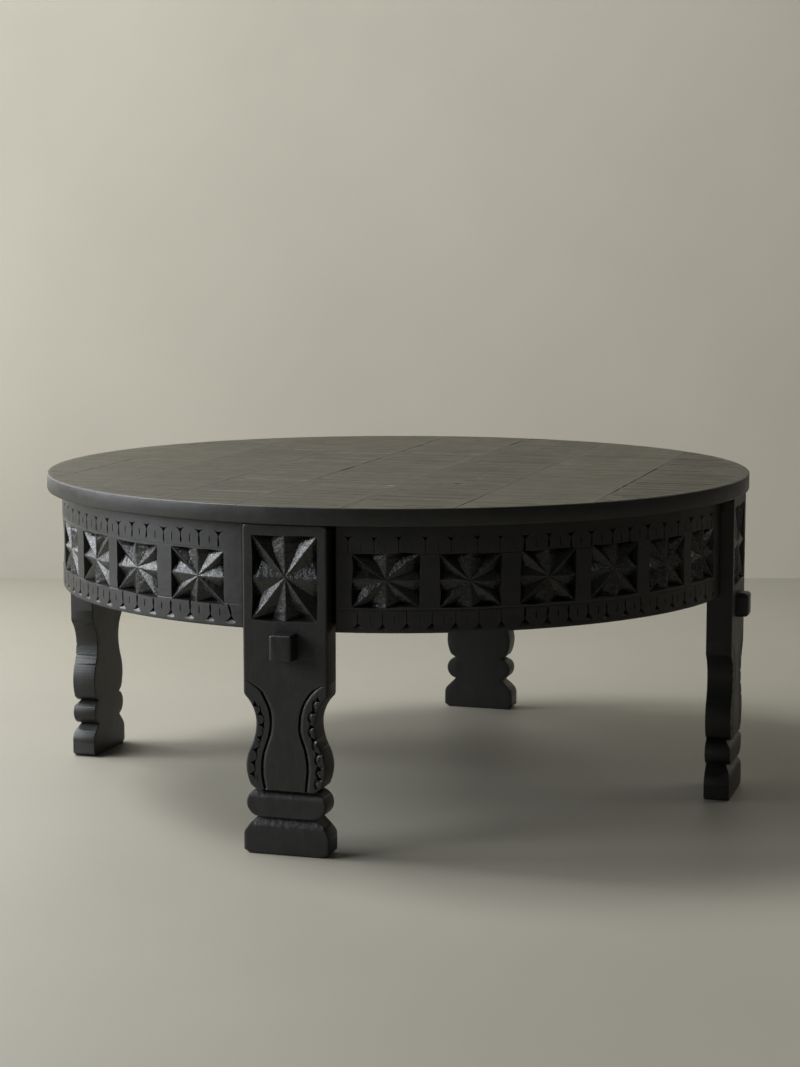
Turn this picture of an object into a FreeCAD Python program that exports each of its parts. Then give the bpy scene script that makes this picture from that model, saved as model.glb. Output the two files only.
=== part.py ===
import FreeCAD, Part

import math
import os
import re

import Sketcher

from FreeCAD import Vector

# Round carved coffee table. Millimetres. The origin is on the floor under the middle of the top.
# +Z is up. The front leg stands on -Y, the right leg on +X.

SIZES = {
    # Overall
    "top_diameter": 900,
    "table_height": 400,
    # Top planks, which run along Y. Each seam's distance from the middle is a share of the diameter.
    "top_thickness": 21,
    "top_edge_ease": 2.5,
    "seam_ease": 0.8,
    "seam_1_share": -0.4111,
    "seam_2_share": -0.2933,
    "seam_3_share": -0.1744,
    "seam_4_share": -0.0622,
    "seam_5_share": 0.0733,
    "seam_6_share": 0.2078,
    "seam_7_share": 0.3600,
    # Loose tongues between the planks
    "tongue_thickness": 5,
    "tongue_width": 16,
    "tongue_end_distance": 32,
    "tongue_fit": 0.1,
    # Battens under the planks
    "batten_width": 70,
    "batten_thickness": 22,
    "batten_offset_share": 0.1333,
    "batten_end_gap": 2,
    "batten_ease": 3,
    # Curved apron panels
    "top_overhang": 19,
    "apron_height": 122,
    "apron_thickness": 22,
    "panel_end_gap": 4.5,
    # Rosettes in the apron
    "rosette_count": 6,
    "rosette_pitch_angle": 12.1,
    "rosette_width": 73,
    "rosette_height": 61,
    "rosette_rise": 59.5,
    "rosette_depth": 7,
    "rosette_ridge_drop": 0.8,
    "rosette_middle_drop": 1.6,
    # Legs
    "leg_width": 100,
    "leg_thickness": 32,
    "leg_proud": 12,
    "leg_corner_round": 5,
    "leg_rosette_width": 78,
    "leg_rosette_height": 97,
    "leg_rosette_drop": 61,
    "leg_rosette_depth": 8,
    "shoulder_round": 8,
    "waist_width": 70.4,
    "waist_height": 152,
    "waist_upper_radius": 42,
    "belly_width": 95.2,
    "belly_height": 102,
    "belly_bevel_height": 5,
    "neck_width": 69.6,
    "upper_neck_height": 74.8,
    "lower_neck_height": 43.6,
    "bead_width": 95,
    "foot_width": 102,
    "foot_bevel_angle": 45,
    "foot_round": 14,
    "foot_chamfer_width": 7,
    "foot_chamfer_height": 4.5,
    "groove_depth": 6,
    "groove_height": 8,
    # Square pegs through the legs
    "peg_head_width": 27.4,
    "peg_head_height": 30.7,
    "peg_projection": 18,
    "peg_shank_width": 20,
    "peg_shank_height": 22,
    "peg_edge_ease": 2,
    "peg_fit": 0.15,
    # Blocks that carry the legs
    "leg_block_depth": 41.5,
    "leg_block_reach": 95,
    "leg_block_rise": 5,
    # Blocks in the corner between panel and top
    "panel_block_angle": 34,
    "panel_block_width": 60,
    "panel_block_depth": 32,
    "panel_block_height": 42,
    "panel_block_chamfer": 14,
    # Coach screws that hold the legs to their blocks
    "screw_diameter": 8,
    "screw_length": 60,
    "screw_head_flats": 13,
    "screw_head_height": 5.3,
    "screw_spacing": 60,
    "hole_fit": 0.1,
    # How far a cutter runs past the face that it cuts
    "overrun": 6,
}

TOP_UNDERSIDE = "(table_height - top_thickness)"
TOP_RADIUS = "(top_diameter / 2)"
APRON_RADIUS = "(top_diameter / 2 - top_overhang)"
APRON_INNER = "(top_diameter / 2 - top_overhang - apron_thickness)"
APRON_BOTTOM = "(table_height - top_thickness - apron_height)"
LEG_OUTER = "(top_diameter / 2 - top_overhang + leg_proud)"
LEG_INNER = "(top_diameter / 2 - top_overhang + leg_proud - leg_thickness)"
BLOCK_BACK = "(" + LEG_INNER + " - leg_block_depth)"
PEG_HEIGHT = "(" + APRON_BOTTOM + " - peg_head_height / 2)"
SCREW_MIDDLE = "(" + TOP_UNDERSIDE + " - leg_rosette_drop)"
SCREW_BITE = "(screw_length - leg_block_depth + hole_fit)"
PANEL_BLOCK_BACK = "(" + APRON_INNER + " - panel_block_depth)"
TONGUE_BOTTOM = "(" + TOP_UNDERSIDE + " + (top_thickness - tongue_thickness) / 2)"
BATTEN_OFFSET = "(top_diameter * batten_offset_share)"

PLANK_COUNT = 8
LEG_COUNT = 4
QUARTER = 90
SIXTH = 60
UP = Vector(0, 0, 1)

doc = FreeCAD.newDocument("carved_table")
sheet = doc.addObject("Spreadsheet::Sheet", "Sizes")
for row, (alias, size) in enumerate(SIZES.items(), start=1):
    sheet.set("A%d" % row, alias)
    sheet.set("B%d" % row, str(size))
    sheet.setAlias("B%d" % row, alias)
doc.recompute()

parts = {}


def bound(formula):
    """The formula with every size's name pointing at its cell."""
    return re.sub(r"[a-z_][a-z_0-9]*",
                  lambda word: "Sizes." + word.group() if word.group() in SIZES else word.group(),
                  formula)


def size(formula):
    """What the formula measures now."""
    return float(sheet.evalExpression(bound(formula)))


def keep(name, piece, turn=0):
    """Label a finished piece, turn it about the table's axis and list it for writing."""
    piece.Label = name
    piece.Placement = FreeCAD.Placement(Vector(), FreeCAD.Rotation(UP, turn))
    parts[name] = piece


def new_body(name):
    return doc.addObject("PartDesign::Body", name)


def new_sketch(body, name, plane, offset="0"):
    """A sketch on one of the body's own planes, moved along the plane's normal by offset."""
    sketch = body.newObject("Sketcher::SketchObject", name)
    support = next(feature for feature in body.Origin.OriginFeatures if feature.Role == plane)
    sketch.AttachmentSupport = (support, [""])
    sketch.MapMode = "FlatFace"
    sketch.setExpression("AttachmentOffset.Base.z", bound(offset))
    return sketch


def dimension(sketch, kind, references, formula):
    index = sketch.addConstraint(Sketcher.Constraint(kind, *references, size(formula)))
    sketch.setExpression("Constraints[%d]" % index, bound(formula))


def add_outline(sketch, corners):
    """A closed outline. A corner is (x, y), or (x, y, radius) where an arc leads to the next one.
    A positive radius turns left on the way, a negative one turns right."""
    places = [Vector(size(corner[0]), size(corner[1]), 0) for corner in corners]
    edges = []
    for index, corner in enumerate(corners):
        start = places[index]
        end = places[(index + 1) % len(corners)]
        if len(corner) == 2:
            edges.append((sketch.addGeometry(Part.LineSegment(start, end)), 1, 2))
            continue
        radius = size(corner[2])
        chord = end - start
        side = Vector(-chord.y, chord.x, 0).normalize() * math.copysign(1, radius)
        centre = (start + end) / 2 + side * math.sqrt(radius ** 2 - (chord.Length / 2) ** 2)
        first, last = (start, end) if radius > 0 else (end, start)
        angles = [math.atan2(point.y - centre.y, point.x - centre.x) for point in (first, last)]
        arc = Part.ArcOfCircle(Part.Circle(centre, UP, abs(radius)), *angles)
        ends = (1, 2) if radius > 0 else (2, 1)
        edges.append((sketch.addGeometry(arc), *ends))
    for index, corner in enumerate(corners):
        edge, start, end = edges[index]
        following, following_start, _ = edges[(index + 1) % len(corners)]
        sketch.addConstraint(Sketcher.Constraint("Coincident", edge, end, following, following_start))
        dimension(sketch, "DistanceX", (-1, 1, edge, start), corner[0])
        dimension(sketch, "DistanceY", (-1, 1, edge, start), corner[1])
        if len(corner) == 3:
            radius = corner[2] if size(corner[2]) > 0 else "-(" + corner[2] + ")"
            dimension(sketch, "Radius", (edge,), radius)


def add_circles(sketch, places, diameter):
    for x, y in places:
        circle = sketch.addGeometry(Part.Circle(Vector(size(x), size(y), 0), UP, size(diameter) / 2))
        dimension(sketch, "DistanceX", (-1, 1, circle, 3), x)
        dimension(sketch, "DistanceY", (-1, 1, circle, 3), y)
        dimension(sketch, "Radius", (circle,), diameter + " / 2")


def rectangle(width, low, high):
    """Corners of a rectangle that is centred in x."""
    half = width + " / 2"
    return [("-" + half, low), (half, low), (half, high), ("-" + half, high)]


def pad(body, sketch, length, reverse=False):
    feature = body.newObject("PartDesign::Pad", sketch.Name + "_pad")
    feature.Profile = sketch
    feature.setExpression("Length", bound(length))
    feature.Reversed = reverse
    doc.recompute()
    return feature


def pocket(body, sketch, length, reverse=False):
    """A pocket, which must take something away."""
    before = body.Shape.Volume
    feature = body.newObject("PartDesign::Pocket", sketch.Name + "_pocket")
    feature.Profile = sketch
    feature.setExpression("Length", bound(length))
    feature.Reversed = reverse
    doc.recompute()
    if body.Shape.Volume >= before:
        raise RuntimeError(feature.Name + " cuts nothing")
    return feature


def dress(body, kind, name, amount, wanted):
    """A fillet or chamfer of the edges that the test picks from the body as it stands."""
    base = body.Tip
    edges = ["Edge%d" % number for number, edge in enumerate(base.Shape.Edges, start=1) if wanted(edge)]
    feature = body.newObject("PartDesign::" + kind, name)
    feature.Base = (base, edges)
    feature.setExpression("Radius" if kind == "Fillet" else "Size", bound(amount))
    doc.recompute()
    return feature


def polar_copies(body, originals):
    """Repeat features at each leg."""
    pattern = body.newObject("PartDesign::PolarPattern", body.Name + "_copies")
    pattern.Originals = originals
    axis = next(feature for feature in body.Origin.OriginFeatures if feature.Role == "Z_Axis")
    pattern.Axis = (axis, [""])
    pattern.Angle = QUARTER * LEG_COUNT
    pattern.Occurrences = LEG_COUNT
    body.Tip = pattern
    doc.recompute()


def half_chord(radius, distance):
    """Half the chord of a circle at a distance from its middle."""
    return "sqrt(%s ^ 2 - (%s) ^ 2)" % (radius, distance)


def seam_offset(number):
    return "(top_diameter * seam_%d_share)" % number


def seams(number):
    """The left and right sides of a plank, as formulas, or None at the rim."""
    left = seam_offset(number - 1) if number > 1 else None
    right = seam_offset(number) if number < PLANK_COUNT else None
    return left, right


def screw_places():
    return [("0", SCREW_MIDDLE + side + "screw_spacing / 2") for side in (" - ", " + ")]


# Table top

def plank_corners(number):
    left, right = seams(number)
    rim = TOP_RADIUS
    if left is None:
        return [(right, half_chord(rim, right), rim), ("-" + rim, "0", rim),
                (right, "-" + half_chord(rim, right))]
    if right is None:
        return [(left, "-" + half_chord(rim, left), rim), (rim, "0", rim),
                (left, half_chord(rim, left))]
    return [(left, "-" + half_chord(rim, left), rim), (right, "-" + half_chord(rim, right)),
            (right, half_chord(rim, right), rim), (left, half_chord(rim, left))]


def tongue_half_length(seam):
    return "(" + half_chord(TOP_RADIUS, seam) + " - tongue_end_distance)"


def tongue_slot(seam, fit):
    """Corners of a tongue, or of its slot, in plan."""
    half = "(%s + %s)" % (tongue_half_length(seam), fit)
    reach = "(tongue_width / 2 + %s)" % fit
    return [("%s - %s" % (seam, reach), "-" + half), ("%s + %s" % (seam, reach), "-" + half),
            ("%s + %s" % (seam, reach), half), ("%s - %s" % (seam, reach), half)]


def make_plank(number):
    name = "top_plank_%d" % number
    body = new_body(name)
    outline = new_sketch(body, name + "_outline", "XY_Plane", TOP_UNDERSIDE)
    add_outline(outline, plank_corners(number))
    pad(body, outline, "top_thickness")
    dress(body, "Chamfer", name + "_rim", "top_edge_ease",
          lambda edge: isinstance(edge.Curve, Part.Circle))
    sides = [(side, seam) for side, seam in zip(("left", "right"), seams(number)) if seam]
    top = size("table_height")
    offsets = [size(seam) for side, seam in sides]
    dress(body, "Chamfer", name + "_ease", "seam_ease",
          lambda edge: isinstance(edge.Curve, Part.Line)
          and all(abs(vertex.Z - top) < Part.Precision.confusion() for vertex in edge.Vertexes)
          and any(abs(edge.CenterOfMass.x - offset) < Part.Precision.confusion() for offset in offsets))
    for side, seam in sides:
        slot = new_sketch(body, name + "_" + side + "_slot", "XY_Plane", TONGUE_BOTTOM + " - tongue_fit")
        add_outline(slot, tongue_slot(seam, "tongue_fit"))
        pocket(body, slot, "tongue_thickness + 2 * tongue_fit", reverse=True)
    keep(name, body)


def make_tongue(number):
    name = "top_tongue_%d" % number
    body = new_body(name)
    outline = new_sketch(body, name + "_outline", "XY_Plane", TONGUE_BOTTOM)
    add_outline(outline, tongue_slot(seam_offset(number), "0"))
    pad(body, outline, "tongue_thickness")
    keep(name, body)


def make_batten(name, turn):
    body = new_body(name)
    outer = "(" + BATTEN_OFFSET + " + batten_width / 2)"
    inner = "(" + BATTEN_OFFSET + " - batten_width / 2)"
    long_side = "(" + BLOCK_BACK + " - batten_end_gap)"
    outline = new_sketch(body, name + "_outline", "XY_Plane", TOP_UNDERSIDE)
    add_outline(outline, [("-" + long_side, "-" + outer), (long_side, "-" + outer),
                          (long_side, "-" + inner), ("-" + long_side, "-" + inner)])
    pad(body, outline, "batten_thickness", reverse=True)
    low = size(TOP_UNDERSIDE + " - batten_thickness")
    dress(body, "Chamfer", name + "_ease", "batten_ease",
          lambda edge: all(abs(vertex.Z - low) < Part.Precision.confusion() for vertex in edge.Vertexes))
    keep(name, body, turn)


for plank in range(1, PLANK_COUNT + 1):
    make_plank(plank)
for plank in range(1, PLANK_COUNT):
    make_tongue(plank)
make_batten("top_batten_front", 0)
make_batten("top_batten_back", 2 * QUARTER)


# Carved rosettes

def star_cutter(width, height, depth, ridge_drop, middle_drop, overrun, place):
    """The wood that a carver takes out for one rosette. Eight ridges run from the middle to the
    corners and to the middles of the sides, and eight valleys between them deepen outwards.
    place turns (across, up, depth below the face) into a point."""
    across = width / 2
    up = height / 2
    corners = [(across, 0), (across, up), (0, up), (-across, up),
               (-across, 0), (-across, -up), (0, -up), (across, -up)]
    rim = []
    for index, ridge in enumerate(corners):
        following = corners[(index + 1) % len(corners)]
        valley = ((ridge[0] + following[0]) / 2, (ridge[1] + following[1]) / 2)
        rim.append((ridge, ridge_drop))
        rim.append((valley, depth))
    floor = [place(point[0], point[1], drop) for point, drop in rim]
    roof = [place(point[0], point[1], -overrun) for point, drop in rim]
    low_middle = place(0, 0, middle_drop)
    high_middle = place(0, 0, -overrun)
    faces = []
    for index in range(len(rim)):
        following = (index + 1) % len(rim)
        for points in ((low_middle, floor[index], floor[following]),
                       (high_middle, roof[index], roof[following]),
                       (floor[index], roof[index], roof[following]),
                       (floor[index], roof[following], floor[following])):
            faces.append(Part.Face(Part.makePolygon([*points, points[0]])))
    solid = Part.makeSolid(Part.makeShell(faces))
    if solid.Volume < 0:
        solid.reverse()
    return solid


def make_apron_cutters():
    """The six rosettes of one panel, which lies between the front leg and the right leg."""
    radius = size(APRON_RADIUS)
    rise = size(APRON_BOTTOM + " + rosette_rise")
    count = int(size("rosette_count"))

    def on_apron(middle):
        def place(across, up, drop):
            turn = math.radians(middle) + across / radius
            distance = radius - drop
            return Vector(distance * math.sin(turn), -distance * math.cos(turn), rise + up)
        return place

    cutters = []
    for number in range(count):
        middle = QUARTER / 2 + (number - (count - 1) / 2) * size("rosette_pitch_angle")
        cutters.append(star_cutter(size("rosette_width"), size("rosette_height"), size("rosette_depth"),
                                   size("rosette_ridge_drop"), size("rosette_middle_drop"),
                                   size("overrun"), on_apron(middle)))
    feature = doc.addObject("Part::Feature", "apron_rosettes")
    feature.Shape = Part.makeCompound(cutters)
    return feature


def make_leg_cutter():
    outer = size(LEG_OUTER)
    middle = size(TOP_UNDERSIDE + " - leg_rosette_drop")

    def on_leg(across, up, drop):
        return Vector(across, drop - outer, middle + up)

    feature = doc.addObject("Part::Feature", "leg_rosette")
    feature.Shape = star_cutter(size("leg_rosette_width"), size("leg_rosette_height"),
                                size("leg_rosette_depth"), size("rosette_ridge_drop"),
                                size("rosette_middle_drop"), size("overrun"), on_leg)
    return feature


# Apron panels, each between two legs

def panel_corners():
    end = "(leg_width / 2 + panel_end_gap)"
    outer = APRON_RADIUS
    inner = APRON_INNER
    return [(end, "-" + half_chord(outer, end), outer), (half_chord(outer, end), "-" + end),
            (half_chord(inner, end), "-" + end, "-" + inner), (end, "-" + half_chord(inner, end))]


def make_panel(number, cutters):
    name = "apron_panel_%d" % number
    body = new_body(name + "_blank")
    outline = new_sketch(body, name + "_outline", "XY_Plane", APRON_BOTTOM)
    add_outline(outline, panel_corners())
    pad(body, outline, "apron_height")
    carved = doc.addObject("Part::Cut", name)
    carved.Base = body
    carved.Tool = cutters
    doc.recompute()
    keep(name, carved, QUARTER * (number - 1))


apron_cutters = make_apron_cutters()
for quarter in range(LEG_COUNT):
    make_panel(quarter + 1, apron_cutters)


# Legs

WAIST_RADIUS = ("((waist_width / 2) ^ 2 + (waist_height - belly_height) ^ 2 - (belly_width / 2) ^ 2)"
                " / (belly_width - waist_width)")
BELLY_SHARE = "(belly_width / 2) / (belly_width / 2 + " + WAIST_RADIUS + ")"
SHOULDER_REACH = "(waist_upper_radius + shoulder_round)"
SHOULDER_RUN = "(waist_width / 2 + waist_upper_radius - (leg_width / 2 - shoulder_round))"
SHOULDER_HEIGHT = "(waist_height + " + half_chord(SHOULDER_REACH, SHOULDER_RUN) + ")"
BEAD_BULGE = "((bead_width - neck_width) / 2)"
BEAD_HALF = "((upper_neck_height - lower_neck_height) / 2)"
BEAD_RADIUS = "((" + BEAD_BULGE + " ^ 2 + " + BEAD_HALF + " ^ 2) / (2 * " + BEAD_BULGE + "))"


def right_side():
    """The right outline of a leg from the foot to the top. The belly is an arc about the leg's
    middle line, two arcs tangent to it and to each other make the waist, and a small round leads to
    the straight board."""
    half = "leg_width / 2"
    foot = "foot_width / 2"
    neck = "neck_width / 2"
    bevel_x = "(foot_width / 2 - foot_round * (1 - cos(foot_bevel_angle)))"
    bevel_height = "(lower_neck_height - (%s - neck_width / 2) * tan(foot_bevel_angle))" % bevel_x
    belly_end = "(upper_neck_height + belly_bevel_height)"
    belly_x = half_chord("(belly_width / 2)", "belly_height - " + belly_end)
    blend_x = "((waist_width / 2 + %s) * %s)" % (WAIST_RADIUS, BELLY_SHARE)
    blend_height = "(belly_height + (waist_height - belly_height) * %s)" % BELLY_SHARE
    shoulder_share = "(shoulder_round / %s)" % SHOULDER_REACH
    shoulder_x = "(leg_width / 2 - shoulder_round + %s * %s)" % (SHOULDER_RUN, shoulder_share)
    shoulder_low = "(%s - (%s - waist_height) * %s)" % (SHOULDER_HEIGHT, SHOULDER_HEIGHT, shoulder_share)
    return [("foot_width / 2 - foot_chamfer_width", "0"),
            (foot, "foot_chamfer_height"),
            (foot, bevel_height + " - foot_round * sin(foot_bevel_angle)", "foot_round"),
            (bevel_x, bevel_height),
            (neck, "lower_neck_height", BEAD_RADIUS),
            (neck, "upper_neck_height"),
            (belly_x, belly_end, "belly_width / 2"),
            (blend_x, blend_height, "-(" + WAIST_RADIUS + ")"),
            ("waist_width / 2", "waist_height", "-waist_upper_radius"),
            (shoulder_x, shoulder_low, "shoulder_round"),
            (half, SHOULDER_HEIGHT),
            (half, TOP_UNDERSIDE + " - leg_corner_round", "leg_corner_round"),
            ("leg_width / 2 - leg_corner_round", TOP_UNDERSIDE)]


def mirrored(corners):
    """The left outline, from the top down to the foot. An arc's radius moves to its other end."""
    flipped = []
    for index in reversed(range(len(corners))):
        corner = corners[index]
        before = corners[index - 1] if index else ()
        place = ("-(" + corner[0] + ")", corner[1])
        flipped.append((*place, before[2]) if len(before) == 3 else place)
    return flipped


def front_groove(height):
    """A V-groove across a leg's front. Its upper side is level and its lower side slopes outwards."""
    face = "-" + LEG_OUTER
    return [(face + " - overrun", height), (face + " + groove_depth", height),
            (face, height + " - groove_height"), (face + " - overrun", height + " - groove_height")]


def make_leg(name, turn, cutter):
    body = new_body(name + "_blank")
    outline = new_sketch(body, name + "_outline", "XZ_Plane", LEG_INNER)
    add_outline(outline, right_side() + mirrored(right_side()))
    pad(body, outline, "leg_thickness")
    for height in ("upper_neck_height", "lower_neck_height"):
        groove = new_sketch(body, name + "_groove_at_" + height, "YZ_Plane")
        add_outline(groove, front_groove(height))
        pocket(body, groove, "foot_width").Midplane = True
    mortise = new_sketch(body, name + "_mortise", "XZ_Plane", LEG_INNER)
    half = "(peg_shank_height / 2 + peg_fit)"
    add_outline(mortise, rectangle("(peg_shank_width + 2 * peg_fit)",
                                   PEG_HEIGHT + " - " + half, PEG_HEIGHT + " + " + half))
    pocket(body, mortise, "leg_thickness", reverse=True)
    pilots = new_sketch(body, name + "_pilots", "XZ_Plane", LEG_INNER)
    add_circles(pilots, screw_places(), "(screw_diameter + hole_fit)")
    pocket(body, pilots, SCREW_BITE, reverse=True)
    carved = doc.addObject("Part::Cut", name)
    carved.Base = body
    carved.Tool = cutter
    doc.recompute()
    keep(name, carved, turn)


def make_peg(name, turn):
    body = new_body(name)
    shank = new_sketch(body, name + "_shank", "XZ_Plane", LEG_INNER)
    add_outline(shank, rectangle("peg_shank_width", PEG_HEIGHT + " - peg_shank_height / 2",
                                 PEG_HEIGHT + " + peg_shank_height / 2"))
    pad(body, shank, "leg_thickness")
    head = new_sketch(body, name + "_head", "XZ_Plane", LEG_OUTER)
    add_outline(head, rectangle("peg_head_width", PEG_HEIGHT + " - peg_head_height / 2",
                                PEG_HEIGHT + " + peg_head_height / 2"))
    pad(body, head, "peg_projection")
    face = size(LEG_OUTER)
    dress(body, "Chamfer", name + "_eased", "peg_edge_ease",
          lambda edge: min(-vertex.Y for vertex in edge.Vertexes) > face - Part.Precision.confusion()
          and max(-vertex.Y for vertex in edge.Vertexes) > face + Part.Precision.confusion())
    keep(name, body, turn)


def make_leg_block(name, turn):
    """The block behind a leg. Its nose stands against the leg between the ends of two panels,
    and its wings lie against the panels' inner faces."""
    body = new_body(name)
    nose = "leg_width / 2"
    wing = "leg_block_reach"
    outline = new_sketch(body, name + "_outline", "XY_Plane", APRON_BOTTOM + " + leg_block_rise")
    nose_root = "-" + half_chord(APRON_INNER, "leg_width / 2")
    wing_end = "-" + half_chord(APRON_INNER, "leg_block_reach")
    add_outline(outline, [("-" + nose, "-" + LEG_INNER), (nose, "-" + LEG_INNER),
                          (nose, nose_root, APRON_INNER), (wing, wing_end),
                          (wing, "-" + BLOCK_BACK), ("-" + wing, "-" + BLOCK_BACK),
                          ("-" + wing, wing_end, APRON_INNER), ("-" + nose, nose_root)])
    pad(body, outline, "apron_height - leg_block_rise")
    holes = new_sketch(body, name + "_holes", "XZ_Plane", BLOCK_BACK)
    add_circles(holes, screw_places(), "(screw_diameter + hole_fit)")
    pocket(body, holes, "leg_block_depth", reverse=True)
    keep(name, body, turn)


leg_cutter = make_leg_cutter()
for quarter, side in enumerate(("front", "right", "back", "left")):
    make_leg("leg_" + side, QUARTER * quarter, leg_cutter)
    make_peg("leg_peg_" + side, QUARTER * quarter)
    make_leg_block("leg_block_" + side, QUARTER * quarter)


# Blocks between panel and top

def make_panel_block(number, turn):
    name = "panel_block_%d" % number
    body = new_body(name)
    half = "panel_block_width / 2"
    seat = "-" + half_chord(APRON_INNER, half)
    back = "-" + PANEL_BLOCK_BACK
    outline = new_sketch(body, name + "_outline", "XY_Plane", TOP_UNDERSIDE)
    add_outline(outline, [("-" + half, seat, APRON_INNER), (half, seat), (half, back), ("-" + half, back)])
    pad(body, outline, "panel_block_height", reverse=True)
    low = size(TOP_UNDERSIDE + " - panel_block_height")
    inward = size(back)
    dress(body, "Chamfer", name + "_bevel", "panel_block_chamfer",
          lambda edge: all(abs(vertex.Z - low) < Part.Precision.confusion()
                           and abs(vertex.Y - inward) < Part.Precision.confusion()
                           for vertex in edge.Vertexes))
    keep(name, body, turn)


block_number = 0
for quarter in range(LEG_COUNT):
    for turn in (size("panel_block_angle"), QUARTER - size("panel_block_angle")):
        block_number += 1
        make_panel_block(block_number, QUARTER * quarter + turn)


def make_screws(name):
    """Two coach screws at each leg, which run out through the block into the leg."""
    body = new_body(name)
    heads = new_sketch(body, name + "_heads", "XZ_Plane", BLOCK_BACK)
    corner = "(screw_head_flats / sqrt(3))"
    for x, height in screw_places():
        add_outline(heads, [("%s + %s * cos(%d)" % (x, corner, angle),
                             "%s + %s * sin(%d)" % (height, corner, angle))
                            for angle in range(0, 6 * SIXTH, SIXTH)])
    head = pad(body, heads, "screw_head_height", reverse=True)
    shanks = new_sketch(body, name + "_shanks", "XZ_Plane", BLOCK_BACK)
    add_circles(shanks, screw_places(), "screw_diameter")
    shank = pad(body, shanks, "screw_length")
    polar_copies(body, [head, shank])
    keep(name, body)


make_screws("leg_coach_screws")

doc.recompute()
for item in doc.Objects:
    if "Invalid" in item.State or "Error" in item.State:
        raise RuntimeError(item.Name + " failed")
for name, piece in parts.items():
    if piece.Shape.isNull() or not piece.Shape.isValid() or not piece.Shape.Solids:
        raise RuntimeError(name + " has no valid solid")

os.makedirs("parts", exist_ok=True)
for name, piece in parts.items():
    piece.Shape.exportStep("parts/" + name + ".step")
    print(name, len(piece.Shape.Solids), round(piece.Shape.Volume))
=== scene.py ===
import math
from collections import Counter, defaultdict

import bmesh
import bpy
import numpy as np
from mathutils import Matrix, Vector, kdtree, noise
from mathutils.geometry import delaunay_2d_cdt


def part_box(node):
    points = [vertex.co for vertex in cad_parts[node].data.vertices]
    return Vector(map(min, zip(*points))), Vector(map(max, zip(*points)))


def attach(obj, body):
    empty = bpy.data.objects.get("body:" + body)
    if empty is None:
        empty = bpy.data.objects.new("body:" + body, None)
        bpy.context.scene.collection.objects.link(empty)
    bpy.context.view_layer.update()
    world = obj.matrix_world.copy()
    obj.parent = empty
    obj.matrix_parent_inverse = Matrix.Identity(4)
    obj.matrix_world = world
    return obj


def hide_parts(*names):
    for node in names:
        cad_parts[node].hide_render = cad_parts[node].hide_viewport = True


# A round coffee table of black-stained wood with hand-carved apron and legs. The solids give the place
# and size of each piece. This script carves the faces, cuts the planks and adds materials, light and
# camera. The places of the carving are those of the photo.
# Metres throughout. +Z is up, the front leg stands on -Y and the right leg on +X.

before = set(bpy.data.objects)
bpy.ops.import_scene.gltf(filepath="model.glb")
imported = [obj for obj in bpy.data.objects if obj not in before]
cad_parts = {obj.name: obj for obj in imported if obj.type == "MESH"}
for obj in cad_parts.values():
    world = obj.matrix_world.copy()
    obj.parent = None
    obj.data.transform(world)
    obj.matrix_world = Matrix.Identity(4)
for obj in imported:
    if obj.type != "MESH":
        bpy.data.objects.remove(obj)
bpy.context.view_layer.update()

MM = 0.001
QUARTER = math.pi / 2
ROOT = "root"

# Places from the solids
LEG_NAMES = ("leg_front", "leg_right", "leg_back", "leg_left")
PEG_NAMES = ("leg_peg_front", "leg_peg_right", "leg_peg_back", "leg_peg_left")
LEG_LOW, LEG_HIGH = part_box("leg_front")
LEG_OUTER = -LEG_LOW.y
LEG_INNER = -LEG_HIGH.y
LEG_HALF = LEG_HIGH.x
LEG_TOP = LEG_HIGH.z
PEG_LOW, PEG_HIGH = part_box("leg_peg_front")
PANEL_LOW, PANEL_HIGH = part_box("apron_panel_1")
APRON_BOTTOM = PANEL_LOW.z
APRON_TOP = PANEL_HIGH.z
PANEL_END = PANEL_LOW.x
APRON_RADIUS = math.hypot(PANEL_HIGH.x, PANEL_END)
APRON_THICKNESS = 22 * MM
TOP_RADIUS = -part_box("top_plank_1")[0].x
TOP_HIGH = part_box("top_plank_1")[1].z
TOP_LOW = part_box("top_plank_1")[0].z
PLANK_COUNT = 8


# Carving

WALL_SLOPE = 4.5
RIDGE_DROP = 0.6 * MM
RIDGE_WIDTH = 1.8 * MM
MIDDLE_DROP = 1.6 * MM
CENTRE_WANDER = 1.4 * MM
RIM_WANDER = 0.8 * MM
# Two rings on the way from the middle to the rim, and how deep a valley is there, as a share of its end
RINGS = (0.58, 0.84)
VALLEY_SHARES = (0.34, 0.60)
# A lower border's chip ends in a crescent that faces up, and a wedge stands on the crescent
CRESCENT_SAG = 1.0 * MM
CRESCENT_HEIGHT = 3.8 * MM
CRESCENT_DEPTH = 1.9 * MM
CRESCENT_TOP_SHARE = 0.8
WEDGE_RISE = 1.6 * MM
WEDGE_WIDTH_SHARE = 0.7
WEDGE_TIP_SHARE = 0.15
WEDGE_DEPTH_SHARE = 1.15
WEDGE_SAG_SHARE = 0.07


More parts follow.
